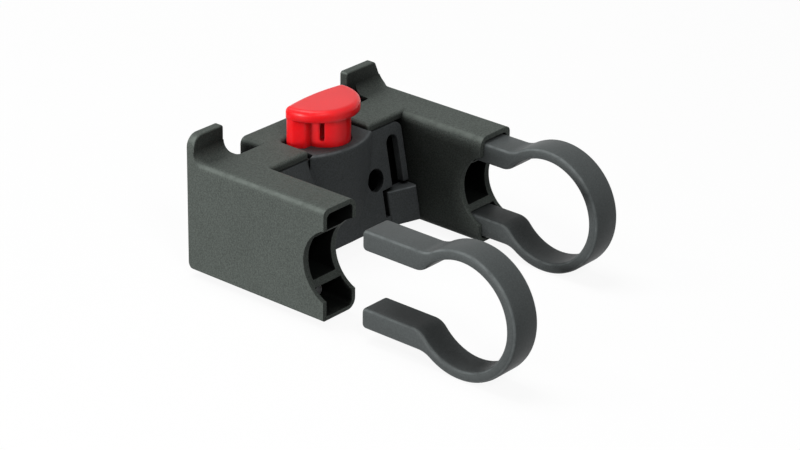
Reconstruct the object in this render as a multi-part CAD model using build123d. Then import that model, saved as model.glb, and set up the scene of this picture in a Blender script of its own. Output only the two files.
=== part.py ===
"""Quick-release handlebar bag mount: a moulded adapter whose two hollow arms carry pull-in clamp loops.

Frame: millimetres, +Z up, +Y forward to the bag, +X to the rider's right. The origin lies on the flat front
face, on the centre plane, at the height of the handlebar's axis. The left loop is drawn out of its arm and
stands behind it, and the right loop is pushed part way in.
"""
import math
import os

from build123d import *

# Handlebar and clamp loops
bar_diameter = 31.8
bar_clearance = 0.1
loop_wall = 3.3
loop_width = 10.4
leg_gap = 18.1
leg_thickness = 6.0
leg_reach = 34.9
mouth_radius = 3.0
shoulder_radius = 4.0
leg_end_radius = 1.1
loop_edge_radius = 0.8
left_standoff = 12.6
right_insertion = 12.3

# Arms of the adapter body
body_width = 83.0
arm_length = 52.5
arm_side_wall = 1.45
arm_top_wall = 1.6
arm_floor_wall = 1.2
arm_outer_radius = 2.0
arm_inner_radius = 3.0
arm_keel_radius = 3.0
arm_foot_radius = 0.6
front_foot_radius = 2.2
socket_side_clearance = 0.2
socket_headroom = 0.75
socket_outer_radius = 1.6
socket_inner_radius = 1.4
shelf_gap = 0.85
upper_shelf_thickness = 1.1
lower_shelf_thickness = 1.8
cavity_side_wall = 2.1
screw_block_margin = 0.8
seat_radius = 12.0
seat_depth = 7.5

# Crossbar of the adapter body
crossbar_depth = 21.6
top_plate_thickness = 2.2
front_wall = 2.4
floor_depth = 20.0
floor_thickness = 2.0
cutout_side_gap = 0.4
cutout_front_gap = 1.2
cutout_corner_radius = 1.2
cutout_inner_radius = 1.5
plate_edge_radius = 1.1

# Hook ears and the notches beside them
ear_thickness = 2.6
ear_height = 7.8
ear_corner_radius = 3.8
ear_tip_radius = 0.8
ear_edge_radius = 0.5
ear_root_radius = 3.2
right_ear_lip = 4.0
right_ear_taper = 3.4
right_ear_radius = 1.6
notch_bite = 1.1
notch_width = 9.7
notch_depth = 8.2
notch_drop = 12.0
notch_wall = 2.0
notch_corner_radius = 1.2
notch_rim_radius = 2.1

# Lock housing
housing_side_gap = 0.35
housing_top_gap = 0.5
housing_floor_gap = 0.3
housing_reveal = 0.15
housing_lean = 11.4
housing_plate = 2.2
housing_plate_lift = 0.65
housing_corner_radius = 2.6
guide_wall = 1.7
boss_radius = 24.0
boss_wall = 2.6
boss_gap = 0.8
boss_rise = 1.4
boss_edge_radius = 1.1
well_floor_thickness = 2.0
port_offset = 13.2
port_height = 0.35
port_diameter = 7.0
window_offset = 22.5
window_width = 5.1
window_top = 11.6
finger_width = 10.25
finger_top = -4.5
finger_bottom = -15.3
finger_proud_inner = 0.2
finger_proud_outer = 3.3
finger_gap = 0.9
finger_side_gap = 1.8
finger_root = 2.2
finger_edge_radius = 0.7

# Release button
button_clearance = 0.3
button_travel = 5.5
button_floor_clearance = 0.5
button_cap_radius = 12.7
button_cap_centre = 13.0
button_cap_thickness = 3.4
button_cap_gap = 2.0
button_front_bow = 1.3
button_front_edge = 11.3
button_corner_radius = 1.9
button_edge_radius = 1.6
button_shoulder_inset = 0.1
button_shoulder_front = 11.2
button_shoulder_rear = 17.1
button_shoulder_chamfer = 2.7
button_shoulder_drop = 5.4
button_shoulder_radius = 0.6
button_column_radius = 7.4
button_column_centre = 16.4
button_slot_angle = 57
button_slot_width = 1.4
button_slot_depth = 2.2
button_slot_height = 6.8
latch_width = 10.0
latch_neck_thickness = 2.5
latch_reach = 5.0
latch_hook_thickness = 2.4
latch_hook_rise = 2.4
latch_hook_tip = 1.0

# Button spring
spring_wire = 0.9
spring_diameter = 7.2
spring_centre = 18.2
spring_pocket_depth = 10.7
spring_pitch = 2.7
spring_clearance = 0.5
spring_end_clearance = 0.1
spring_post_height = 3.5

# Clamp screws, washers and threaded inserts
screw_diameter = 3.0
screw_length = 40.0
screw_head_diameter = 5.5
screw_head_height = 3.0
screw_head_radius = 0.3
screw_socket_across_flats = 2.5
screw_socket_depth = 1.5
screw_hole_clearance = 0.2
screw_bore_clearance = 0.3
screw_bore_margin = 1.3
screw_head_sink = 1.7
recess_clearance = 0.15
washer_diameter = 6.0
washer_thickness = 0.5
insert_diameter = 4.6
insert_length = 5.0
insert_clearance = 0.02

# How far a cut runs past the face that it opens
over = 1.0

# Loops, arms and crossbar, worked out from the sizes above
bar_bore = bar_diameter / 2 + bar_clearance
loop_radius = bar_bore + loop_wall
leg_inner = leg_gap / 2
leg_outer = leg_inner + leg_thickness
leg_level = leg_inner + leg_thickness / 2
left_loop_centre = arm_length + leg_reach + left_standoff
right_loop_centre = arm_length + leg_reach - right_insertion
half_width = body_width / 2
socket_width = loop_width + 2 * socket_side_clearance
socket_end = leg_outer + socket_headroom
shelf_level = leg_inner - shelf_gap
arm_width = socket_width + 2 * arm_side_wall
arm_inner = half_width - arm_width
arm_centre = half_width - arm_width / 2
body_top = socket_end + arm_top_wall
body_bottom = -socket_end - arm_floor_wall
seat_centre = arm_length + seat_radius - seat_depth
seat_half_chord = math.sqrt(seat_radius**2 - (seat_radius - seat_depth) ** 2)
notch_outer = arm_inner + notch_bite
notch_inner = notch_outer - notch_width
notch_floor = body_top - notch_drop
screw_block = notch_depth + screw_block_margin
crossbar_reach = arm_inner + arm_inner_radius
plate_underside = body_top - top_plate_thickness
floor_top = body_bottom + floor_thickness
cutout_half = button_cap_radius + cutout_side_gap
cutout_front = button_shoulder_front - cutout_front_gap

# Housing, button and spring
lean = math.radians(housing_lean)
housing_half = arm_inner - housing_side_gap
housing_top = plate_underside - housing_top_gap
housing_bottom = floor_top + housing_floor_gap
housing_plate_bottom = housing_bottom + housing_plate_lift
housing_rear = crossbar_depth + housing_reveal
well_floor = housing_bottom + well_floor_thickness
boss_rear = button_column_centre + button_column_radius + button_clearance + boss_wall
boss_half = cutout_half - boss_gap
cap_bottom = body_top + button_travel + button_cap_gap
column_bottom = well_floor + button_travel + button_floor_clearance
shoulder_bottom = body_top - button_shoulder_drop
shoulder_floor = shoulder_bottom - button_travel - button_clearance
neck_top = column_bottom + latch_neck_thickness
latch_half = latch_width / 2 + button_clearance
spring_top = column_bottom + spring_pocket_depth
spring_radius = spring_diameter / 2

# Screws and their seats
head_recess = screw_head_height + washer_thickness + screw_head_sink
screw_seat = head_recess - washer_thickness
screw_tip = screw_seat + screw_length
tight_centre = arm_length + math.sqrt((bar_diameter / 2) ** 2 - seat_half_chord**2)
leg_bore_depth = screw_tip - (tight_centre - leg_reach) + screw_bore_margin

SIDES = {"left": -1, "right": 1}
LEVELS = {"upper": 1, "lower": -1}


def block(x0, x1, y0, y1, z0, z1):
    """A box between two corners, given in either order along X."""
    low, high = min(x0, x1), max(x0, x1)
    return Pos(low, y0, z0) * Box(high - low, y1 - y0, z1 - z0, align=(Align.MIN, Align.MIN, Align.MIN))


def rod(x, z, radius, front, rear):
    """A round bar along Y, from its front end back to its rear end."""
    turned = Rot(90, 0, 0) * Cylinder(radius, front - rear, align=(Align.CENTER, Align.CENTER, Align.MIN))
    return Pos(x, front, z) * turned


def post(x, y, radius, z0, z1):
    """A round bar along Z from z0 up to z1."""
    return Pos(x, y, z0) * Cylinder(radius, z1 - z0, align=(Align.CENTER, Align.CENTER, Align.MIN))


def along_y(section, front, rear):
    """Extrudes a section drawn with X to the right and Z up, from front back to rear."""
    return extrude(Plane((0, front, 0), x_dir=(1, 0, 0), z_dir=(0, -1, 0)) * section, front - rear)


def along_x(section, x0, x1):
    """Extrudes a section drawn with Y to the right and Z up, from x0 to x1."""
    return extrude(Plane((x0, 0, 0), x_dir=(0, 1, 0), z_dir=(1, 0, 0)) * section, x1 - x0)


def corner_rectangle(xa, xb, z0, z1, radii):
    """A rectangle whose corners, named by their side and level signs, have their own radii."""
    x0, x1 = min(xa, xb), max(xa, xb)
    section = Pos((x0 + x1) / 2, (z0 + z1) / 2) * Rectangle(x1 - x0, z1 - z0)
    for (side, level), radius in radii.items():
        corner = (x1 if side > 0 else x0, z1 if level > 0 else z0, 0)
        section = fillet(section.vertices().sort_by_distance(corner)[0], radius)
    return section


def corner_trim(a, b, radius, way_a, way_b):
    """The section that a square corner at (a, b), pointing the given ways, loses when it is rounded."""
    reach = radius + over
    centre = Pos(a - way_a * radius, b - way_b * radius)
    square = Pos(way_a * reach / 2, way_b * reach / 2) * Rectangle(reach, reach)
    return centre * (square - Circle(radius))


def arm(side):
    """One arm as a solid bar, strongly rounded along its outer top edge."""
    radii = {
        (side, 1): arm_outer_radius,
        (-side, 1): arm_inner_radius,
        (-side, -1): arm_keel_radius,
        (side, -1): arm_foot_radius,
    }
    section = corner_rectangle(side * half_width, side * arm_inner, body_bottom, body_top, radii)
    return along_y(section, 0, -arm_length)


def arm_hollows(side):
    """The two leg sockets and the middle cavity of one arm, open to the rear, with the screw holes."""
    centre = side * arm_centre
    left, right = centre - socket_width / 2, centre + socket_width / 2
    upper_radii = {(side, 1): socket_outer_radius, (-side, 1): socket_inner_radius}
    upper = corner_rectangle(left, right, shelf_level, socket_end, upper_radii)
    lower = corner_rectangle(left, right, -socket_end, -shelf_level, {(-side, -1): socket_inner_radius})
    cavity_half = arm_width / 2 - cavity_side_wall
    cavity_bottom = lower_shelf_thickness - shelf_level
    cavity_top = shelf_level - upper_shelf_thickness
    middle = corner_rectangle(centre - cavity_half, centre + cavity_half, cavity_bottom, cavity_top, {})
    cuts = Part()
    for section in (upper, lower, middle):
        cuts += along_y(section, -screw_block, -arm_length - over)
    for level in LEVELS.values():
        z = level * leg_level
        cuts += rod(centre, z, screw_diameter / 2 + screw_hole_clearance, over, -screw_block - over)
        cuts += rod(centre, z, washer_diameter / 2 + recess_clearance, over, -head_recess)
    return cuts


def ear_section(side):
    """An ear seen along Y: the left one has a round outer corner, the right one slopes to a narrower top."""
    top = body_top + ear_height
    if side < 0:
        radii = {(-1, 1): ear_corner_radius, (1, 1): ear_tip_radius}
        return corner_rectangle(-half_width, -notch_outer, notch_floor, top, radii)
    inner = notch_outer - right_ear_lip
    shoulder = half_width - right_ear_taper
    section = Polygon(
        (inner, notch_floor),
        (half_width, notch_floor),
        (half_width, body_top),
        (shoulder, top),
        (inner, top),
        align=None,
    )
    for x, radius in ((shoulder, right_ear_radius), (inner, ear_tip_radius)):
        section = fillet(section.vertices().sort_by_distance((x, top, 0))[0], radius)
    return section


def ear(side):
    """One upright hook ear at the front corner. The right ear has a lip in front of its notch."""
    plate = along_y(ear_section(side), 0, -ear_thickness)
    outline = plate.faces().sort_by(Axis.Y)[0].edges().sort_by(Axis.Z)[1:]
    return fillet(outline, ear_edge_radius)


def ear_root(side):
    """The concave sweep from an ear's rear face down to the arm's top, carried round the arm's outer edge."""
    rear = -ear_thickness - ear_root_radius
    bed = min(ear_root_radius, arm_outer_radius) / 4
    size = ear_root_radius + bed
    section = Pos(rear, body_top - bed) * Rectangle(size, size, align=(Align.MIN, Align.MIN))
    section -= Pos(rear, body_top + ear_root_radius) * Circle(ear_root_radius)
    bend = half_width - arm_outer_radius
    root = along_x(section, notch_outer, bend)
    turn = Axis((bend, 0, body_top - arm_outer_radius), (0, 1, 0))
    root += revolve(Plane((bend, 0, 0), x_dir=(0, 1, 0), z_dir=(1, 0, 0)) * section, turn, 90)
    root = root if side > 0 else mirror(root, Plane.YZ)
    return root & along_y(ear_section(side), 0, -arm_length)


def notch(side):
    """The hook notch beside an ear, open upward and forward, with rounded rear corners."""
    cut = block(side * notch_outer, side * notch_inner, -notch_depth, over, notch_floor, body_top + over)
    cut = fillet(cut.edges().filter_by(Axis.Z).sort_by(Axis.Y)[:2], notch_corner_radius)
    rim = corner_trim(side * notch_inner, body_top, notch_rim_radius, side, 1)
    return cut + along_y(rim, over, -notch_depth)


def top_plate():
    """The crossbar's top with the button's cut-out and softly rounded edges."""
    plate = block(-crossbar_reach, crossbar_reach, -crossbar_depth, 0, plate_underside, body_top)
    low, high = plate_underside - over, body_top + over
    plate -= block(-cutout_half, cutout_half, -crossbar_depth - over, -cutout_front, low, high)
    for depth, radius in ((crossbar_depth, cutout_corner_radius), (cutout_front, cutout_inner_radius)):
        for side in SIDES.values():
            corner = (side * cutout_half, -depth, plate_underside + top_plate_thickness / 2)
            plate = fillet(plate.edges().filter_by(Axis.Z).sort_by_distance(corner)[0], radius)
    behind = plate.edges().group_by(Axis.Z)[-1].filter_by_position(Axis.Y, -crossbar_depth, -cutout_front)
    rim = behind.filter_by_position(Axis.X, -crossbar_reach, crossbar_reach, inclusive=(False, False))
    return fillet(rim, plate_edge_radius)


def adapter_body():
    """The U-shaped moulding: two hollow arms, crossbar, hook ears, notches and bar seats."""
    reach = crossbar_reach
    solid = arm(-1) + arm(1) + top_plate()
    solid += block(-reach, reach, -front_wall, 0, body_bottom, body_top)
    solid += block(-reach, reach, -floor_depth, 0, body_bottom, floor_top)
    for side in SIDES.values():
        inner = side * (notch_inner - notch_wall)
        rear = -notch_depth - notch_wall
        solid += block(inner, side * reach, rear, 0, notch_floor - notch_wall, body_top)
        solid -= notch(side)
        solid += ear(side) + ear_root(side)
        solid -= arm_hollows(side)
    window_bottom_z = column_bottom - button_travel - button_clearance
    window_top_z = neck_top + button_clearance
    solid -= block(-latch_half, latch_half, -front_wall - over, over, window_bottom_z, window_top_z)
    foot = corner_trim(0, body_bottom, front_foot_radius, 1, -1)
    solid -= along_x(foot, -half_width - over, half_width + over)
    return solid - Pos(0, -seat_centre, 0) * Rot(0, 90, 0) * Cylinder(seat_radius, body_width + over)


def plate_rear(z):
    """Y of the leaning housing plate's rear face at height z."""
    return -housing_rear - (housing_top - z) * math.tan(lean)


def on_plate(x, z):
    """A frame on the plate's rear face, with its Z axis out of the face."""
    return Plane((x, plate_rear(z), z), x_dir=(1, 0, 0), z_dir=(0, -math.cos(lean), math.sin(lean)))


def leaning_plate():
    """The housing's rear plate with its two rounded top corners."""
    thickness = housing_plate / math.cos(lean)
    top, bottom = housing_top, housing_plate_bottom
    section = Polygon(
        (plate_rear(top), top),
        (plate_rear(bottom), bottom),
        (plate_rear(bottom) + thickness, bottom),
        (plate_rear(top) + thickness, top),
        align=None,
    )
    plate = along_x(section, -housing_half, housing_half)
    return fillet(plate.edges().filter_by(Axis.Y).group_by(Axis.Z)[-1], housing_corner_radius)


def column_section(clearance):
    """Plan of the button's column: flat front, half-round rear."""
    half = button_column_radius + clearance
    depth = button_column_centre - button_shoulder_front + clearance
    rear_half = Circle(half) - Rectangle(2 * half, half, align=(Align.CENTER, Align.MIN))
    flat = Rectangle(2 * half, depth, align=(Align.CENTER, Align.MIN))
    return Pos(0, -button_column_centre) * (rear_half + flat)


def shoulder_section(clearance):
    """Plan of the button's wide front shoulder, with its rear corners cut off slantwise."""
    half = button_cap_radius - button_shoulder_inset + clearance
    front = clearance - button_shoulder_front
    rear = -button_shoulder_rear - clearance
    cut = button_shoulder_chamfer
    return Polygon(
        (-half, front),
        (-half, rear + cut),
        (cut - half, rear),
        (half - cut, rear),
        (half, rear + cut),
        (half, front),
        align=None,
    )


def boss():
    """The bulge behind the button, a shallow arc with a rounded rim."""
    centre = boss_rear - boss_radius
    depth = boss_rear - button_shoulder_rear + button_shoulder_chamfer - button_clearance
    behind = boss_rear - crossbar_depth - boss_gap
    rear_edge = (Align.CENTER, Align.MIN)
    outline = Rectangle(2 * boss_half, depth, align=rear_edge)
    outline += Rectangle(2 * housing_half, behind, align=rear_edge)
    plan = Pos(0, -centre) * Circle(boss_radius) & Pos(0, -boss_rear) * outline
    solid = Pos(0, 0, housing_bottom) * extrude(plan, housing_top + boss_rise - housing_bottom)
    rim = solid.edges().group_by(Axis.Z)[-1].filter_by(GeomType.CIRCLE)
    return fillet(rim, boss_edge_radius)


def lock_housing():
    """The moulding behind the crossbar: leaning plate, button guide, ports, windows and snap fingers."""
    guide_half = button_column_radius + button_clearance + guide_wall
    guide_front = guide_wall + button_clearance - button_shoulder_front
    shoulder_half = button_cap_radius + button_clearance + guide_wall
    solid = leaning_plate() + boss()
    solid += block(-guide_half, guide_half, -housing_rear, guide_front, housing_bottom, housing_top)
    shoulder_base = shoulder_floor - guide_wall
    solid += block(-shoulder_half, shoulder_half, -housing_rear, guide_front, shoulder_base, housing_top)
    solid -= Pos(0, 0, well_floor) * extrude(column_section(button_clearance), body_top - well_floor)
    shoulder = shoulder_section(button_clearance)
    solid -= Pos(0, 0, shoulder_floor) * extrude(shoulder, body_top - shoulder_floor)
    channel_bottom = column_bottom - button_travel - button_clearance
    solid -= block(-latch_half, latch_half, -button_shoulder_front, 0, channel_bottom, body_top)
    post_radius = spring_radius - spring_wire / 2 - spring_clearance
    solid += post(0, -spring_centre, post_radius, well_floor, well_floor + spring_post_height)
    for side in SIDES.values():
        solid -= plate_cuts(side)
        solid += finger_head(side)
    return solid


def plate_cuts(side):
    """One side's round port, and the tall window that runs into the gap round the snap finger."""
    cuts = on_plate(side * port_offset, port_height) * Cylinder(port_diameter / 2, 3 * housing_plate)
    window_bottom = finger_top + finger_gap / 2
    opening = Rectangle(window_width, (window_top - window_bottom) / math.cos(lean))
    opening = fillet(opening.vertices().group_by(Axis.Y)[-1], 0.49 * window_width)
    middle = (window_top + window_bottom) / 2
    cuts += extrude(on_plate(side * window_offset, middle) * opening, 1.5 * housing_plate, both=True)
    finger_inner = housing_half - finger_width
    gap_inner = side * (finger_inner - finger_side_gap)
    rear = plate_rear(finger_bottom) - over
    front = plate_rear(finger_top) + 2 * housing_plate
    gap_top = finger_top + finger_gap
    cuts += block(gap_inner, side * (housing_half + over), rear, front, finger_top, gap_top)
    gap_bottom = housing_plate_bottom + finger_root
    return cuts + block(gap_inner, side * finger_inner, rear, front, gap_bottom, gap_top)


def finger_section(x, proud):
    """The section of a snap finger's head across X, standing proud of the plate's rear face."""
    bed = housing_plate / 2
    section = Polygon(
        (plate_rear(finger_top) - proud, finger_top),
        (plate_rear(finger_bottom) - proud, finger_bottom),
        (plate_rear(finger_bottom) + bed, finger_bottom),
        (plate_rear(finger_top) + bed, finger_top),
        align=None,
    )
    return Plane((x, 0, 0), x_dir=(0, 1, 0), z_dir=(1, 0, 0)) * section


def finger_head(side):
    """The wedge-shaped head of one snap finger, flush at its inner edge and proud at the arm."""
    inner = finger_section(side * (housing_half - finger_width), finger_proud_inner)
    outer = finger_section(side * housing_half, finger_proud_outer)
    head = loft([inner, outer], ruled=True)
    return fillet(head.faces().sort_by(Axis.Y)[0].edges(), finger_edge_radius)


def button_cap():
    """The half-moon cap: a half disc with a bowed front edge and a rounded rim."""
    half, front, rear = button_cap_radius, -button_front_edge, -button_cap_centre
    bow = ThreePointArc((-half, front), (0, front + button_front_bow), (half, front))
    arc = ThreePointArc((half, rear), (0, rear - half), (-half, rear))
    plan = make_face([bow, Line((half, front), (half, rear)), arc, Line((-half, rear), (-half, front))])
    plan = fillet(plan.vertices().group_by(Axis.Y)[-1], button_corner_radius)
    cap = Pos(0, 0, cap_bottom) * extrude(plan, button_cap_thickness)
    return fillet(cap.edges().group_by(Axis.Z)[-1], button_edge_radius)


def latch_hook():
    """The neck that reaches through the front window and its upturned hook with a sloping nose."""
    root = -button_column_centre / 2 - button_shoulder_front / 2
    hook_rear = latch_reach - latch_hook_thickness
    section = Polygon(
        (root, column_bottom),
        (latch_reach, column_bottom),
        (latch_reach, neck_top),
        (hook_rear + latch_hook_tip, neck_top + latch_hook_rise),
        (hook_rear, neck_top + latch_hook_rise),
        (hook_rear, neck_top),
        (root, neck_top),
        align=None,
    )
    return along_x(section, -latch_width / 2, latch_width / 2)


def release_button():
    """The red button: cap, guided column with its slots, latch hook and spring pocket in one moulding."""
    shoulder = shoulder_section(0)
    shoulder = fillet(shoulder.vertices().group_by(Axis.Y)[-1], button_corner_radius)
    rows = shoulder.vertices().group_by(Axis.Y)
    shoulder = fillet(rows[0] + rows[1], button_shoulder_radius)
    solid = button_cap() + Pos(0, 0, shoulder_bottom) * extrude(shoulder, cap_bottom - shoulder_bottom)
    solid += Pos(0, 0, column_bottom) * extrude(column_section(0), cap_bottom - column_bottom)
    inner = button_column_radius - button_slot_depth
    outer = button_column_radius + over
    slot_bottom = cap_bottom - button_slot_height
    slot = block(-button_slot_width / 2, button_slot_width / 2, -outer, -inner, slot_bottom, cap_bottom)
    for side in SIDES.values():
        solid -= Pos(0, -button_column_centre, 0) * Rot(0, 0, side * button_slot_angle) * slot
    pocket = spring_radius + spring_wire / 2 + spring_clearance
    solid -= post(0, -spring_centre, pocket, column_bottom - over, spring_top)
    return solid + latch_hook()


def button_spring():
    """The compression spring between the well's floor and the button, with ends ground flat."""
    height = spring_top - spring_end_clearance - well_floor
    coil = Helix(spring_pitch, height, spring_radius)
    wire = sweep(Plane(origin=coil @ 0, z_dir=coil % 0) * Circle(spring_wire / 2), path=coil, is_frenet=True)
    wire &= post(0, 0, spring_diameter, 0, height)
    return Pos(0, -spring_centre, well_floor) * wire


def clamp_loop(x, centre):
    """An omega-shaped loop: a ring for the bar and two straight legs with bores for the clamp screws."""
    section = Circle(loop_radius)
    for level in LEVELS.values():
        section += Pos(leg_reach / 2, level * leg_level) * Rectangle(leg_reach, leg_thickness)
    section -= Circle(bar_bore) + Pos(leg_reach / 2, 0) * Rectangle(leg_reach + over, leg_gap)
    mouth = math.sqrt(bar_bore**2 - leg_inner**2)
    shoulder = math.sqrt(loop_radius**2 - leg_outer**2)
    for level in LEVELS.values():
        corners = {
            (mouth, level * leg_inner, 0): mouth_radius,
            (shoulder, level * leg_outer, 0): shoulder_radius,
            (leg_reach, level * leg_inner, 0): leg_end_radius,
            (leg_reach, level * leg_outer, 0): leg_end_radius,
        }
        for corner, radius in corners.items():
            section = fillet(section.vertices().sort_by_distance(corner)[0], radius)
    loop = along_x(section, -loop_width / 2, loop_width / 2)
    sides = loop.faces().sort_by(Axis.X)
    loop = fillet(sides[0].edges() + sides[-1].edges(), loop_edge_radius)
    bore = screw_diameter / 2 + screw_bore_clearance
    for level in LEVELS.values():
        z = level * leg_level
        loop -= rod(0, z, bore, leg_reach + over, leg_reach - leg_bore_depth)
        loop -= rod(0, z, insert_diameter / 2, leg_reach + over, leg_reach - insert_length)
    return Pos(x, -centre, 0) * loop


def clamp_screw(x, z):
    """A socket-head screw with its head in the front recess."""
    seat = -screw_seat
    top = seat + screw_head_height
    head = rod(x, z, screw_head_diameter / 2, top, seat)
    head = fillet(head.edges().sort_by(Axis.Y)[-1], screw_head_radius)
    hexagon = RegularPolygon(screw_socket_across_flats / 2, 6, major_radius=False)
    head -= along_y(Pos(x, z) * hexagon, top + over, top - screw_socket_depth)
    return head + rod(x, z, screw_diameter / 2, seat, -screw_tip)


def washer(x, z):
    """The flat washer under a screw head."""
    ring = rod(x, z, washer_diameter / 2, -screw_seat, -head_recess)
    return ring - rod(x, z, screw_diameter / 2 + screw_hole_clearance, 0, -head_recess - over)


def threaded_insert(x, z, end):
    """The brass insert in a leg's end."""
    sleeve = rod(x, z, insert_diameter / 2 - insert_clearance, end, end - insert_length)
    bore = screw_diameter / 2 + screw_bore_clearance
    return sleeve - rod(x, z, bore, end + over, end - insert_length - over)


def build_nodes():
    """All pieces of the mount, by name."""
    nodes = {
        "adapter_body": adapter_body(),
        "lock_housing": lock_housing(),
        "release_button": release_button(),
        "button_spring": button_spring(),
    }
    centres = {"left": left_loop_centre, "right": right_loop_centre}
    for name, side in SIDES.items():
        x = side * arm_centre
        nodes[f"{name}_clamp_loop"] = clamp_loop(x, centres[name])
        for level_name, level in LEVELS.items():
            z = level * leg_level
            label = f"{name}_{level_name}"
            nodes[f"{label}_clamp_screw"] = clamp_screw(x, z)
            nodes[f"{label}_washer"] = washer(x, z)
            nodes[f"{label}_threaded_insert"] = threaded_insert(x, z, leg_reach - centres[name])
    return nodes


def main():
    os.makedirs("parts", exist_ok=True)
    for name, piece in build_nodes().items():
        export_step(piece, f"parts/{name}.step")


main()
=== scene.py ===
"""Handlebar bag mount: modelled clamp loops and spring, moulded finishes, a white studio and the camera."""
import math

import bmesh
import bpy
from mathutils import Matrix, Vector


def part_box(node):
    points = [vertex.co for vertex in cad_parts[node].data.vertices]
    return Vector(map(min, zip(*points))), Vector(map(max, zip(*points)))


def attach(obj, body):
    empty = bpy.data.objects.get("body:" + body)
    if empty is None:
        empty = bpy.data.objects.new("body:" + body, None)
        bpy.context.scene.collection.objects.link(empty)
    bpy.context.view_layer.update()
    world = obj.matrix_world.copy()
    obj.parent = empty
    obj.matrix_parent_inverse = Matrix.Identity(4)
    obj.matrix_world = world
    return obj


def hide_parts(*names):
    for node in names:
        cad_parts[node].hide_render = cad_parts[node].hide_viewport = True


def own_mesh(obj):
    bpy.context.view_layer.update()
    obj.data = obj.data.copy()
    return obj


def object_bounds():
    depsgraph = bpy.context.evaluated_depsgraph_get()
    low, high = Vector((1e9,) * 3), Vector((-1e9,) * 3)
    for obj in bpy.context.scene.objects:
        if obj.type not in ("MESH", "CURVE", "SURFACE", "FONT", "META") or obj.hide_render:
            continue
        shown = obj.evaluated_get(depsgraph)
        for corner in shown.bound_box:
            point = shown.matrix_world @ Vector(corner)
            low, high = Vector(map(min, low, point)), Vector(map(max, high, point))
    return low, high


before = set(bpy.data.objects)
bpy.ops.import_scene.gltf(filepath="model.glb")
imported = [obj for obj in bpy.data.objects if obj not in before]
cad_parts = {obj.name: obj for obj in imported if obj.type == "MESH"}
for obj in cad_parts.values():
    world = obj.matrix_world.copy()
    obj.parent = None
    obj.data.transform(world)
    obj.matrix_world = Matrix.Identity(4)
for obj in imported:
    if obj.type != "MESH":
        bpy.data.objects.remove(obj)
cad_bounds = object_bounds()

bl_info = {
    "name": "Handlebar bag mount",
    "version": (1, 0, 0),
    "blender": (4, 5, 0),
    "location": "View3D > Sidebar > Bag mount",
    "description": "Models the clamp loops and the spring, finishes every piece and sets the studio",
    "category": "Object",
}

CORNERS = ("left_upper", "left_lower", "right_upper", "right_lower")
LOOP_SIDES = ("left", "right")
SCREWS = tuple(f"{corner}_clamp_screw" for corner in CORNERS)
WASHERS = tuple(f"{corner}_washer" for corner in CORNERS)
INSERTS = tuple(f"{corner}_threaded_insert" for corner in CORNERS)
WHITE = (1, 1, 1, 1)

# How finely the loops' curves and holes and the spring's wire are divided.
CORNER_STEPS = 4
SHOULDER_STEPS = 10
RING_STEPS = 96
MOUTH_STEPS = 8
BORE_STEPS = 88
RIM_STEPS = 4
DRILL_SIDES = 48
WIRE_SIDES = 16
TURN_STEPS = 28
SMOOTH_ANGLE = math.radians(35)

# Lengths in metres for welding points, for cutting a mesh flat and for a drill's end outside the leg.
WELD_DISTANCE = 1e-6
CUT_ACCURACY = 1e-8
DRILL_SPARE = 0.001

# The coil starts one turn under the spring's foot and ends past its top, before the ends are ground.
SPARE_TURNS = 2

# Noises of the finishes: how fine they are, their size in grains and the spans over which their tones change.
FINE_DETAIL = 4.0
SPECKLE_ROUGHNESS = 0.65
CLOUD_GRAINS = 40
PATCH_GRAINS = 6
SPECKLE_SPAN = (0.32, 0.70)
CLOUD_SPAN = (0.3, 0.7)
PATCH_SPAN = (0.30, 0.62)
PLATE_SPAN = (0.3, 0.7)
CLOUD_SHADE = 0.92
PATCH_SHADE = 0.25
PLATE_TONES = (0.85, 1.08)

# Painted highlight on edges and painted shade in hollows: the spans of lean and of openness over which they
# show, and how they are sampled.
EDGE_SPAN = (0.12, 0.23)
PLASTIC_HOLLOW_SPAN = (0.50, 1.0)
METAL_HOLLOW_SPAN = (0.10, 0.50)
METAL_HOLLOW_SHADE = 0.08
EDGE_SAMPLES = 6
HOLLOW_SAMPLES = 8

# Metals: the strength of their grain, its size and depth beside the moulded grain's, and their roughness.
METAL_GRAIN = 0.3
METAL_GRAIN_SIZE = 0.5
METAL_GRAIN_DEPTH = 0.25
STEEL_ROUGHNESS = 0.32
BRASS_ROUGHNESS = 0.28

# Gloss and glow: how far roughness varies with the grain, and how deep light goes into the red plastic.
PLASTIC_GLOSS_RANGE = 0.07
METAL_GLOSS_RANGE = 0.08
GLOW_COLOUR_DEPTHS = (1, 0.15, 0.1)
GLOW_DEPTH = 0.007

# Studio: floor and lamps in metres, each lamp with its direction from the mount, width and height.
FLOOR_LEVEL = cad_bounds[0][2]
FLOOR_SIZE = 6
LAMPS = {
    "side": ((-0.99, 0.10, 0.05), 0.3, 0.1),
    "top": ((-0.05, 0.22, 0.97), 0.3, 0.5),
    "edge": ((-0.42, 0.58, 0.70), 0.16, 0.16),
    "fill": ((0.25, -0.95, 0.25), 0.5, 0.4),
    "boss": ((-0.40, -0.62, 0.68), 0.2, 0.2),
}
SENSOR_WIDTH_MM = 36.0
NEAREST_VIEW = 0.01


def colour(name, description, default):
    """A linear colour that a user may change."""
    return bpy.props.FloatVectorProperty(
        name=name, description=description, size=3, min=0, max=1, subtype="COLOR", default=default
    )


def share(name, description, default):
    """A number from 0 to 1 that a user may change."""
    return bpy.props.FloatProperty(
        name=name, description=description, min=0, max=1, subtype="FACTOR", default=default
    )


def length(name, description, default):
    """A length in metres that a user may change."""
    return bpy.props.FloatProperty(
        name=name, description=description, min=0, unit="LENGTH", precision=5, default=default
    )


def angle(name, description, degrees):
    """An angle that a user may change."""
    return bpy.props.FloatProperty(
        name=name, description=description, subtype="ANGLE", default=math.radians(degrees)
    )


def watts(name, description, default):
    """A lamp's power that a user may change."""
    return bpy.props.FloatProperty(name=name, description=description, min=0, unit="POWER", default=default)


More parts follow.
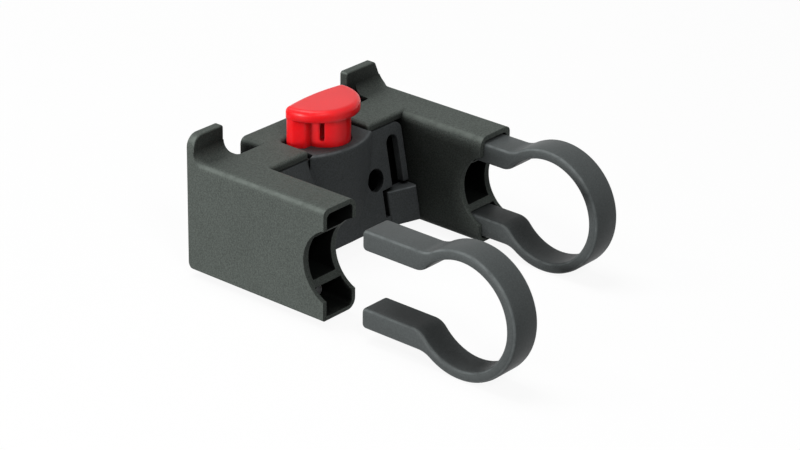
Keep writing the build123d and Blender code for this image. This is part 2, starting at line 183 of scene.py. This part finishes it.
class BagMountFinish(bpy.types.PropertyGroup):
    """Colours and grain of the mount's pieces."""

    body_colour: colour("Body", "Glass-filled nylon of the adapter", (0.088, 0.100, 0.091))
    housing_colour: colour("Housing", "Nylon of the lock housing", (0.066, 0.072, 0.074))
    loop_colour: colour("Loops", "Smoother nylon of the clamp loops", (0.075, 0.083, 0.083))
    button_colour: colour("Button", "Red acetal of the release button", (0.92, 0.012, 0.018))
    steel_colour: colour("Steel", "Zinc-plated screws and spring", (0.56, 0.57, 0.59))
    brass_colour: colour("Brass", "Turned brass inserts", (0.72, 0.52, 0.22))
    grain_size: length("Grain", "Size of the moulded grain", 0.00045)
    grain_depth: length("Grain depth", "Height of the moulded grain", 0.00006)
    edge_radius: length("Edge", "Softening of the moulded edges", 0.0004)
    hollow_reach: length("Hollow", "Reach of the shade in narrow hollows", 0.025)


class BagMountLoops(bpy.types.PropertyGroup):
    """Shape of the clamp loops."""

    bore_radius: length("Bore", "Radius that takes the bar with its clearance", 0.0160)
    leg_gap: length("Leg gap", "Clear height between the legs", 0.0175)
    leg_height: length("Leg height", "Height of each leg", 0.0064)
    shoulder_radius: length("Shoulder", "Hollow curve from a leg's back into the ring", 0.0075)
    mouth_radius: length("Mouth", "Round corner from a leg into the bore", 0.0055)
    corner_radius: length("Leg corner", "Round corners at the legs' ends", 0.0015)
    rim_radius: length("Rim", "Round edge along both sides", 0.0012)
    insert_bore: length("Insert bore", "Diameter of the hole for the threaded insert", 0.0046)
    insert_depth: length("Insert depth", "Depth of the hole for the threaded insert", 0.0050)
    screw_bore: length("Screw bore", "Diameter of the hole for the clamp screw", 0.0036)
    screw_depth: length("Screw depth", "Depth of the hole for the clamp screw", 0.0168)


class BagMountSpring(bpy.types.PropertyGroup):
    """Shape of the button's spring."""

    wire: length("Wire", "Diameter of the spring's wire", 0.0009)
    pitch: length("Pitch", "Rise of each turn", 0.0027)


class BagMountStage(bpy.types.PropertyGroup):
    """Camera and lamps of the studio."""

    view_azimuth: angle("Azimuth", "Direction of the camera round the mount", -49.99)
    view_elevation: angle("Elevation", "Height of the camera over the mount", 24.82)
    view_roll: angle("Roll", "Tilt of the camera about its view", -0.91)
    view_distance: length("Distance", "From the camera to the point that it looks at", 0.835)
    view_aim: bpy.props.FloatVectorProperty(
        name="Aim", description="Point that the camera looks at", size=3, unit="LENGTH", precision=5,
        default=(-0.00284, -0.04775, -0.00156),
    )
    lens: bpy.props.FloatProperty(
        name="Lens", description="Focal length on a 36 mm sensor, in millimetres", min=1, default=129.85
    )
    lamp_distance: length("Lamp distance", "From the lamps to the mount", 0.9)
    side_power: watts("Side lamp", "Low soft lamp at the mount's left", 6.6)
    top_power: watts("Top lamp", "Soft lamp over the mount", 5.1)
    edge_power: watts("Edge lamp", "Small lamp that lights the rounded edges", 0.8)
    fill_power: watts("Fill lamp", "Weak lamp behind the mount's rear", 0.8)
    boss_power: watts("Boss lamp", "Small lamp over the rear left that rounds the boss", 2.3)
    room_light: share("Room", "Even light of the white room", 0.03)
    floor_bounce: share("Floor bounce", "Share of light that the floor throws back on the mount", 0.10)
    floor_white: share("Floor white", "Share of plain white in the floor as it is seen", 0.92)


def deselect_everything():
    """Leaves no object selected."""
    bpy.ops.object.select_all(action="DESELECT")


def scaled(rgb, factor):
    """A colour made lighter or darker, with no channel over 1."""
    return tuple(min(1.0, channel * factor) for channel in rgb)


def grey(level):
    """A neutral colour."""
    return (level, level, level)


class Material:
    """A new material's node tree with short calls to add and link nodes."""

    def __init__(self, name):
        self.material = bpy.data.materials.new(name)
        self.material.use_nodes = True
        self.tree = self.material.node_tree
        self.tree.nodes.clear()
        self.place = self.add("ShaderNodeTexCoord").outputs["Object"]

    def add(self, kind, inputs=None, **settings):
        """Adds a node, sets its settings and fills its inputs with values or with other nodes' outputs."""
        node = self.tree.nodes.new(kind)
        for key, value in settings.items():
            setattr(node, key, value)
        for key, value in (inputs or {}).items():
            if isinstance(value, bpy.types.NodeSocket):
                self.tree.links.new(value, node.inputs[key])
            else:
                node.inputs[key].default_value = value
        return node

    def noise(self, size, detail=2.0, roughness=0.5):
        """Noise on the piece's own coordinates, with features of a real size in metres."""
        values = {"Vector": self.place, "Scale": 1 / size, "Detail": detail, "Roughness": roughness}
        return self.add("ShaderNodeTexNoise", values).outputs["Fac"]

    def ramp(self, factor, span, low_colour, high_colour):
        """A ramp between two colours over a span of the factor."""
        node = self.add("ShaderNodeValToRGB", {"Fac": factor})
        first, last = node.color_ramp.elements
        first.position, last.position = span
        first.color, last.color = (*low_colour, 1), (*high_colour, 1)
        return node.outputs["Color"]

    def mix(self, factor, first, second, mode="MIX"):
        """Mixes two colours, by the number of their sockets, because the node has several of each name."""
        inputs = {0: factor, 6: first, 7: second}
        return self.add("ShaderNodeMix", inputs, data_type="RGBA", blend_type=mode).outputs[2]

    def multiply(self, first, second):
        """Multiplies two colours."""
        return self.mix(1.0, first, second, "MULTIPLY")

    def calculate(self, operation, first, second):
        """One step of arithmetic."""
        return self.add("ShaderNodeMath", {0: first, 1: second}, operation=operation).outputs[0]

    def oblique(self, axis):
        """1 where the surface leans halfway between an axis of the piece and the directions square to it."""
        normal = self.add("ShaderNodeTexCoord").outputs["Normal"]
        part = self.add("ShaderNodeSeparateXYZ", {"Vector": normal}).outputs[axis]
        square = self.calculate("MULTIPLY", part, part)
        lean = self.calculate("MULTIPLY", square, self.calculate("SUBTRACT", 1.0, square))
        return self.ramp(lean, EDGE_SPAN, grey(0), grey(1))

    def openness(self, distance, only_local):
        """1 where the surface is open within a distance, and less in a hollow."""
        values = {"Color": WHITE, "Distance": distance}
        node = self.add("ShaderNodeAmbientOcclusion", values, samples=HOLLOW_SAMPLES, only_local=only_local)
        return node.outputs["AO"]

    def spread(self, factor, low, high):
        """Carries a factor of 0 to 1 over to another range."""
        values = {"Value": factor, "To Min": low, "To Max": high}
        return self.add("ShaderNodeMapRange", values).outputs["Result"]

    def surface(self, shader):
        """Makes a shader node the material's surface, and gives back the material."""
        output = self.add("ShaderNodeOutputMaterial")
        self.tree.links.new(shader.outputs[0], output.inputs["Surface"])
        return self.material


def moulded_plastic(
    name, rgb, finish, roughness, grain, specular,
    edge_axis="X", contrast=0.25, highlight_and_wear=1.5, hollow_shade=0.05, reach=1.0, glow=0.0, rounding=1.0,
):
    """Moulded plastic: speckled grain, cloudy flow marks, paler edges that are painted highlight and partly
    wear, and painted shade in its hollows.
    """
    nodes = Material(name)
    speckle = nodes.noise(finish.grain_size, FINE_DETAIL, SPECKLE_ROUGHNESS)
    grained = nodes.ramp(speckle, SPECKLE_SPAN, scaled(rgb, 1 - contrast), scaled(rgb, 1 + contrast))
    cloud = nodes.noise(CLOUD_GRAINS * finish.grain_size)
    clouded = nodes.multiply(grained, nodes.ramp(cloud, CLOUD_SPAN, grey(CLOUD_SHADE), grey(1)))
    patches = nodes.noise(PATCH_GRAINS * finish.grain_size, FINE_DETAIL)
    patchy = nodes.ramp(patches, PATCH_SPAN, grey(PATCH_SHADE), grey(1))
    # Paler bands where the surface leans between an axis and the directions square to it: a painted highlight
    # along the rounded edges, partly wear, broken into patches.
    edge_highlight_and_wear = nodes.multiply(nodes.oblique(edge_axis), patchy)
    edged = nodes.mix(edge_highlight_and_wear, clouded, (*scaled(rgb, highlight_and_wear), 1))
    # Painted shade: the colour darkens where the surface is closed in within the reach, down to the hollow
    # shade level.
    open_share = nodes.openness(reach * finish.hollow_reach, only_local=True)
    shade = nodes.ramp(open_share, PLASTIC_HOLLOW_SPAN, grey(hollow_shade), grey(1))
    values = {"Radius": rounding * finish.edge_radius}
    soft = nodes.add("ShaderNodeBevel", values, samples=EDGE_SAMPLES).outputs["Normal"]
    values = {"Strength": grain, "Distance": finish.grain_depth, "Height": speckle, "Normal": soft}
    bump = nodes.add("ShaderNodeBump", values)
    values = {
        "Base Color": nodes.multiply(edged, shade),
        "Roughness": nodes.spread(speckle, roughness - PLASTIC_GLOSS_RANGE, roughness + PLASTIC_GLOSS_RANGE),
        "Specular IOR Level": specular,
        "Subsurface Weight": glow,
        "Subsurface Radius": GLOW_COLOUR_DEPTHS,
        "Subsurface Scale": GLOW_DEPTH,
        "Normal": bump.outputs["Normal"],
    }
    return nodes.surface(nodes.add("ShaderNodeBsdfPrincipled", values))


def plated_metal(name, rgb, roughness, finish):
    """Plated or turned metal with a fine uneven gloss, and painted shade in its hollows."""
    nodes = Material(name)
    grain = nodes.noise(METAL_GRAIN_SIZE * finish.grain_size, FINE_DETAIL)
    values = {"Strength": METAL_GRAIN, "Distance": METAL_GRAIN_DEPTH * finish.grain_depth, "Height": grain}
    bump = nodes.add("ShaderNodeBump", values)
    dull, bright = PLATE_TONES
    plate = nodes.ramp(grain, PLATE_SPAN, scaled(rgb, dull), scaled(rgb, bright))
    # Painted shade: the metal darkens where it is closed in, such as inside holes.
    open_share = nodes.openness(finish.hollow_reach, only_local=False)
    shade = nodes.ramp(open_share, METAL_HOLLOW_SPAN, grey(METAL_HOLLOW_SHADE), grey(1))
    values = {
        "Base Color": nodes.multiply(plate, shade),
        "Metallic": 1.0,
        "Roughness": nodes.spread(grain, roughness - METAL_GLOSS_RANGE, roughness + METAL_GLOSS_RANGE),
        "Normal": bump.outputs["Normal"],
    }
    return nodes.surface(nodes.add("ShaderNodeBsdfPrincipled", values))


def dress(names, material):
    """Puts one material on every slot of the named CAD pieces."""
    for name in names:
        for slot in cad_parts[name].material_slots:
            slot.material = material


def pick_edges(wanted):
    """Selects the edges of the mesh in edit mode whose two ends fit a test."""
    bpy.ops.mesh.select_mode(type="EDGE")
    bpy.ops.mesh.select_all(action="DESELECT")
    mesh = bmesh.from_edit_mesh(bpy.context.object.data)
    for edge in mesh.edges:
        edge.select_set(wanted([end.co for end in edge.verts]))
    bmesh.update_edit_mesh(bpy.context.object.data)


class Outline:
    """Draws an outline in edit mode: an edge along X that is extruded along lines and spun along arcs."""

    def __init__(self, width, y, z):
        self.place = Vector((0, y, z))
        bpy.ops.mesh.primitive_plane_add(size=width, location=(0, y + width / 2, z))
        bpy.ops.object.transform_apply(location=True, rotation=False, scale=False)
        bpy.ops.object.mode_set(mode="EDIT")
        pick_edges(lambda ends: all(end.y > y + width / 2 for end in ends))
        bpy.ops.mesh.delete(type="VERT")
        bpy.ops.mesh.select_all(action="SELECT")

    def line(self, y, z):
        """Goes straight to a place."""
        target = Vector((0, y, z))
        bpy.ops.mesh.extrude_region_move(TRANSFORM_OT_translate={"value": target - self.place})
        self.place = target

    def arc(self, y, z, turn, steps):
        """Turns about a centre, by an angle counted from Y towards Z."""
        centre = Vector((0, y, z))
        bpy.ops.mesh.spin(steps=steps, angle=-turn, center=centre, axis=(1, 0, 0))
        self.place = centre + Matrix.Rotation(turn, 3, "X") @ (self.place - centre)


def draw_loop_outline(shape, width, ring, reach):
    """Draws a band along a loop's outline: round the ring, along both legs and back through the bore."""
    inner = shape.leg_gap / 2
    outer = inner + shape.leg_height
    corner = shape.corner_radius
    shoulder_z = outer + shape.shoulder_radius
    shoulder_y = math.sqrt((ring + shape.shoulder_radius) ** 2 - shoulder_z**2)
    shoulder_turn = math.atan2(shoulder_y, shoulder_z)
    mouth_z = inner + shape.mouth_radius
    mouth_y = math.sqrt((shape.bore_radius + shape.mouth_radius) ** 2 - mouth_z**2)
    mouth_turn = math.atan2(mouth_y, mouth_z)
    quarter = math.pi / 2
    outline = Outline(width, reach, (inner + outer) / 2)
    outline.line(reach, outer - corner)
    outline.arc(reach - corner, outer - corner, quarter, CORNER_STEPS)
    outline.line(shoulder_y, outer)
    outline.arc(shoulder_y, shoulder_z, -shoulder_turn, SHOULDER_STEPS)
    outline.arc(0, 0, math.pi + 2 * shoulder_turn, RING_STEPS)
    outline.arc(shoulder_y, -shoulder_z, -shoulder_turn, SHOULDER_STEPS)
    outline.line(reach - corner, -outer)
    outline.arc(reach - corner, corner - outer, quarter, CORNER_STEPS)
    outline.line(reach, -inner - corner)
    outline.arc(reach - corner, -inner - corner, quarter, CORNER_STEPS)
    outline.line(mouth_y, -inner)
    outline.arc(mouth_y, -mouth_z, mouth_turn, MOUTH_STEPS)
    outline.arc(0, 0, -math.pi - 2 * mouth_turn, BORE_STEPS)
    outline.arc(mouth_y, mouth_z, mouth_turn, MOUTH_STEPS)
    outline.line(reach - corner, inner)
    outline.arc(reach - corner, inner + corner, quarter, CORNER_STEPS)
    outline.line(reach, (inner + outer) / 2)
    bpy.ops.mesh.select_all(action="SELECT")
    bpy.ops.mesh.remove_doubles(threshold=WELD_DISTANCE)


def bore_leg(loop, z, reach, diameter, depth):
    """Cuts a round hole into the end of a leg."""
    deselect_everything()
    bpy.ops.mesh.primitive_cylinder_add(
        vertices=DRILL_SIDES, radius=diameter / 2, depth=depth + DRILL_SPARE,
        location=(0, reach - (depth - DRILL_SPARE) / 2, z), rotation=(math.pi / 2, 0, 0),
    )
    drill = bpy.context.object
    bpy.context.view_layer.objects.active = loop
    hole = loop.modifiers.new("hole", "BOOLEAN")
    hole.operation = "DIFFERENCE"
    hole.solver = "MANIFOLD"
    hole.object = drill
    bpy.ops.object.modifier_apply(modifier=hole.name)
    bpy.data.objects.remove(drill)


def clamp_loop(shape, width, ring, reach, level):
    """An omega-shaped loop round the origin: legs along Y, rounded side edges and a hole in each leg."""
    deselect_everything()
    draw_loop_outline(shape, width, ring, reach)
    side = width / 2 - WELD_DISTANCE
    pick_edges(lambda ends: all(end.x > side for end in ends))
    bpy.ops.mesh.edge_face_add()
    pick_edges(lambda ends: all(end.x < -side for end in ends))
    bpy.ops.mesh.edge_face_add()
    pick_edges(lambda ends: abs(ends[0].x + ends[1].x) > 2 * side)
    bpy.ops.mesh.bevel(offset=shape.rim_radius, segments=RIM_STEPS, affect="EDGES", clamp_overlap=False)
    bpy.ops.mesh.select_all(action="SELECT")
    bpy.ops.mesh.normals_make_consistent(inside=False)
    bpy.ops.object.mode_set(mode="OBJECT")
    loop = bpy.context.object
    for z in (level, -level):
        bore_leg(loop, z, reach, shape.insert_bore, shape.insert_depth)
        bore_leg(loop, z, reach, shape.screw_bore, shape.screw_depth)
    return loop


def cut_level(z, clear_above):
    """Cuts the whole mesh in edit mode flat at a level, clears one side and closes the cut."""
    bpy.ops.mesh.select_all(action="SELECT")
    bpy.ops.mesh.bisect(
        plane_co=(0, 0, z), plane_no=(0, 0, 1), use_fill=True,
        clear_outer=clear_above, clear_inner=not clear_above, threshold=CUT_ACCURACY,
    )


def ground_spring(shape, radius, height):
    """A coil on the origin that rises along Z, with both ends ground flat."""
    deselect_everything()
    bpy.ops.mesh.primitive_circle_add(
        vertices=WIRE_SIDES, radius=shape.wire / 2,
        location=(radius, 0, -shape.pitch), rotation=(math.pi / 2, 0, 0),
    )
    spring = bpy.context.object
    bpy.ops.object.transform_apply(location=True, rotation=True, scale=True)
    coil = spring.modifiers.new("coil", "SCREW")
    coil.axis = "Z"
    coil.screw_offset = shape.pitch
    coil.iterations = math.ceil(height / shape.pitch) + SPARE_TURNS
    coil.steps = TURN_STEPS
    coil.render_steps = TURN_STEPS
    bpy.ops.object.modifier_apply(modifier=coil.name)
    bpy.ops.object.mode_set(mode="EDIT")
    cut_level(0, clear_above=False)
    cut_level(height, clear_above=True)
    bpy.ops.mesh.select_all(action="SELECT")
    bpy.ops.mesh.remove_doubles(threshold=WELD_DISTANCE)
    bpy.ops.mesh.normals_make_consistent(inside=False)
    bpy.ops.object.mode_set(mode="OBJECT")
    return spring


def set_down(piece, place):
    """Puts the selected piece in its place, keeps that place in its mesh and smooths its curved faces."""
    piece.location = place
    bpy.ops.object.transform_apply(location=True, rotation=False, scale=False)
    bpy.ops.object.shade_smooth_by_angle(angle=SMOOTH_ANGLE)


class BAGMOUNT_OT_adapter(bpy.types.Operator):
    """Gives the adapter body its grained glass-filled nylon"""

    bl_idname = "bagmount.adapter"
    bl_label = "Adapter body"

    def execute(self, context):
        finish = context.scene.bag_mount_finish
        # Paler edges are painted highlight and partly wear; the wide reach paints shade on the arms' inner
        # faces and in the corners.
        nylon = moulded_plastic(
            "grained_nylon", finish.body_colour, finish, roughness=0.6, grain=0.6, specular=0.05,
            contrast=0.35, highlight_and_wear=1.5, reach=2.6,
        )
        dress(["adapter_body"], nylon)
        return {"FINISHED"}


class BAGMOUNT_OT_housing(bpy.types.Operator):
    """Gives the lock housing its darker nylon"""

    bl_idname = "bagmount.housing"
    bl_label = "Lock housing"

    def execute(self, context):
        finish = context.scene.bag_mount_finish
        # Paler upward edges are painted highlight and partly wear; the ports and corners get painted shade.
        nylon = moulded_plastic(
            "housing_nylon", finish.housing_colour, finish, roughness=0.55, grain=0.5, specular=0.08,
            edge_axis="Z", highlight_and_wear=1.8, hollow_shade=0.03, reach=0.3,
        )
        dress(["lock_housing"], nylon)
        return {"FINISHED"}


class BAGMOUNT_OT_loops(bpy.types.Operator):
    """Models the clamp loops with flowing shoulders in smoother nylon"""

    bl_idname = "bagmount.loops"
    bl_label = "Clamp loops"

    def execute(self, context):
        finish = context.scene.bag_mount_finish
        # Paler side edges are painted highlight and partly wear; the bore and the gap between the legs get
        # painted shade.
        nylon = moulded_plastic(
            "loop_nylon", finish.loop_colour, finish, roughness=0.45, grain=0.3, specular=0.10,
            contrast=0.15, highlight_and_wear=1.7, reach=1.6,
        )
        low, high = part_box("left_clamp_loop")
        width = high.x - low.x
        ring = high.z
        reach = high.y - low.y - ring
        insert_low, insert_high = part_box("left_upper_threaded_insert")
        level = (insert_low.z + insert_high.z) / 2
        first = clamp_loop(context.scene.bag_mount_loops, width, ring, reach, level)
        first.data.materials.clear()
        first.data.materials.append(nylon)
        for side in LOOP_SIDES:
            low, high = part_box(f"{side}_clamp_loop")
            deselect_everything()
            first.select_set(True)
            context.view_layer.objects.active = first
            bpy.ops.object.duplicate()
            loop = context.object
            loop.name = f"{side}_bar_loop"
            set_down(loop, ((low.x + high.x) / 2, low.y + ring, 0))
            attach(loop, f"{side}_loop")
            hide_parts(f"{side}_clamp_loop")
        bpy.data.objects.remove(first)
        return {"FINISHED"}


class BAGMOUNT_OT_button(bpy.types.Operator):
    """Gives the release button its satin red acetal"""

    bl_idname = "bagmount.button"
    bl_label = "Release button"

    def execute(self, context):
        finish = context.scene.bag_mount_finish
        # The paler cap rim is painted highlight and partly wear; the narrow hollows get painted shade.
        red = moulded_plastic(
            "red_acetal", finish.button_colour, finish, roughness=0.32, grain=0.12, specular=0.22,
            edge_axis="Z", contrast=0.04, highlight_and_wear=1.05, hollow_shade=0.5, reach=0.1, glow=0.8, rounding=2.5,
        )
        dress(["release_button"], red)
        return {"FINISHED"}


class BAGMOUNT_OT_spring(bpy.types.Operator):
    """Winds the button's spring and gives it plated steel"""

    bl_idname = "bagmount.spring"
    bl_label = "Button spring"

    def execute(self, context):
        finish = context.scene.bag_mount_finish
        shape = context.scene.bag_mount_spring
        low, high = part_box("button_spring")
        height = high.z - low.z
        foot = ((low.x + high.x) / 2, (low.y + high.y) / 2, low.z)
        spring = ground_spring(shape, (high.x - low.x - shape.wire) / 2, height)
        spring.name = "return_spring"
        set_down(spring, foot)
        steel = plated_metal("spring_steel", finish.steel_colour, STEEL_ROUGHNESS, finish)
        spring.data.materials.append(steel)
        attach(spring, "adapter")
        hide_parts("button_spring")
        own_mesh(spring)
        return {"FINISHED"}


class BAGMOUNT_OT_hardware(bpy.types.Operator):
    """Gives the screws, washers and inserts their metals"""

    bl_idname = "bagmount.hardware"
    bl_label = "Hardware"

    def execute(self, context):
        finish = context.scene.bag_mount_finish
        steel = plated_metal("zinc_plate", finish.steel_colour, STEEL_ROUGHNESS, finish)
        brass = plated_metal("turned_brass", finish.brass_colour, BRASS_ROUGHNESS, finish)
        dress((*SCREWS, *WASHERS), steel)
        dress(INSERTS, brass)
        return {"FINISHED"}


def seen_ray(tree):
    """1 for the rays that show a background: from the camera, in a reflection or through glass."""
    path = tree.nodes.new("ShaderNodeLightPath")
    total = path.outputs["Is Camera Ray"]
    for name in ("Is Glossy Ray", "Is Transmission Ray"):
        node = tree.nodes.new("ShaderNodeMath")
        node.operation = "MAXIMUM"
        tree.links.new(total, node.inputs[0])
        tree.links.new(path.outputs[name], node.inputs[1])
        total = node.outputs[0]
    return total


def white_floor(white_share, bounce):
    """A pale floor that is seen as white with the mount's soft shadow, and throws back part of the light."""
    nodes = Material("studio_floor")
    dim = nodes.add("ShaderNodeBsdfDiffuse", {"Color": (*grey(bounce), 1)})
    white = nodes.add("ShaderNodeBsdfDiffuse", {"Color": WHITE})
    plain = nodes.add("ShaderNodeEmission", {"Color": WHITE, "Strength": 1.0})
    shadowed = nodes.add("ShaderNodeMixShader", {0: white_share, 1: white.outputs[0], 2: plain.outputs[0]})
    values = {0: seen_ray(nodes.tree), 1: dim.outputs[0], 2: shadowed.outputs[0]}
    return nodes.surface(nodes.add("ShaderNodeMixShader", values))


def white_room(strength):
    """An even room light that is seen as white."""
    world = bpy.data.worlds.new("white_room")
    world.use_nodes = True
    tree = world.node_tree
    background = tree.nodes["Background"]
    background.inputs["Color"].default_value = WHITE
    level = tree.nodes.new("ShaderNodeMapRange")
    level.inputs["To Min"].default_value = strength
    level.inputs["To Max"].default_value = 1.0
    tree.links.new(seen_ray(tree), level.inputs["Value"])
    tree.links.new(level.outputs["Result"], background.inputs["Strength"])
    bpy.context.scene.world = world


def soft_lamp(name, direction, stage, width, height, power):
    """A rectangular lamp in a direction from the mount, turned to face it."""
    aim = Vector(stage.view_aim)
    toward = Vector(direction).normalized()
    deselect_everything()
    bpy.ops.object.light_add(type="AREA", location=aim + toward * stage.lamp_distance)
    lamp = bpy.context.object
    lamp.name = name
    lamp.data.energy = power
    lamp.data.shape = "RECTANGLE"
    lamp.data.size = width
    lamp.data.size_y = height
    lamp.rotation_euler = toward.to_track_quat("Z", "Y").to_euler()


def photo_camera(stage):
    """A camera turned about the aim point by azimuth, elevation and roll."""
    turn = Matrix.Rotation(stage.view_azimuth, 4, "Z")
    turn @= Matrix.Rotation(math.pi / 2 - stage.view_elevation, 4, "X")
    turn @= Matrix.Rotation(-stage.view_roll, 4, "Z")
    deselect_everything()
    bpy.ops.object.camera_add()
    camera = bpy.context.object
    camera.name = "photo_camera"
    camera.data.lens = stage.lens
    camera.data.sensor_width = SENSOR_WIDTH_MM
    camera.data.clip_start = NEAREST_VIEW
    back = Matrix.Translation((0, 0, stage.view_distance))
    camera.matrix_world = Matrix.Translation(Vector(stage.view_aim)) @ turn @ back
    bpy.context.scene.camera = camera


class BAGMOUNT_OT_stage(bpy.types.Operator):
    """Adds the white floor, the soft lamps and the camera"""

    bl_idname = "bagmount.stage"
    bl_label = "Studio"

    def execute(self, context):
        stage = context.scene.bag_mount_stage
        deselect_everything()
        bpy.ops.mesh.primitive_plane_add(size=FLOOR_SIZE, location=(0, 0, FLOOR_LEVEL))
        floor = context.object
        floor.name = "studio_floor"
        floor.data.materials.append(white_floor(stage.floor_white, stage.floor_bounce))
        white_room(stage.room_light)
        for name, (direction, width, height) in LAMPS.items():
            soft_lamp(f"{name}_lamp", direction, stage, width, height, getattr(stage, f"{name}_power"))
        photo_camera(stage)
        context.scene.view_settings.view_transform = "Standard"
        return {"FINISHED"}


class BAGMOUNT_PT_panel(bpy.types.Panel):
    """Lists the mount's pieces and studio, and the settings of each"""

    bl_idname = "BAGMOUNT_PT_panel"
    bl_label = "Bag mount"
    bl_space_type = "VIEW_3D"
    bl_region_type = "UI"
    bl_category = "Bag mount"

    def draw(self, context):
        for step in STEPS:
            self.layout.operator(step.bl_idname)
        for name in GROUPS:
            group = getattr(context.scene, name)
            column = self.layout.column()
            for key in group.__annotations__:
                column.prop(group, key)


GROUPS = {
    "bag_mount_finish": BagMountFinish,
    "bag_mount_loops": BagMountLoops,
    "bag_mount_spring": BagMountSpring,
    "bag_mount_stage": BagMountStage,
}
STEPS = (
    BAGMOUNT_OT_adapter,
    BAGMOUNT_OT_housing,
    BAGMOUNT_OT_loops,
    BAGMOUNT_OT_button,
    BAGMOUNT_OT_spring,
    BAGMOUNT_OT_hardware,
    BAGMOUNT_OT_stage,
)
CLASSES = (*GROUPS.values(), *STEPS, BAGMOUNT_PT_panel)


def register():
    """Adds the classes, and the settings to the scene."""
    for item in CLASSES:
        bpy.utils.register_class(item)
    for name, group in GROUPS.items():
        setattr(bpy.types.Scene, name, bpy.props.PointerProperty(type=group))


def unregister():
    """Takes the settings and the classes away again."""
    for name in GROUPS:
        delattr(bpy.types.Scene, name)
    for item in reversed(CLASSES):
        bpy.utils.unregister_class(item)


def main():
    """Builds the mount and its studio."""
    register()
    bpy.ops.bagmount.adapter()
    bpy.ops.bagmount.housing()
    bpy.ops.bagmount.loops()
    bpy.ops.bagmount.button()
    bpy.ops.bagmount.spring()
    bpy.ops.bagmount.hardware()
    bpy.ops.bagmount.stage()


if __name__ == "__main__":
    main()
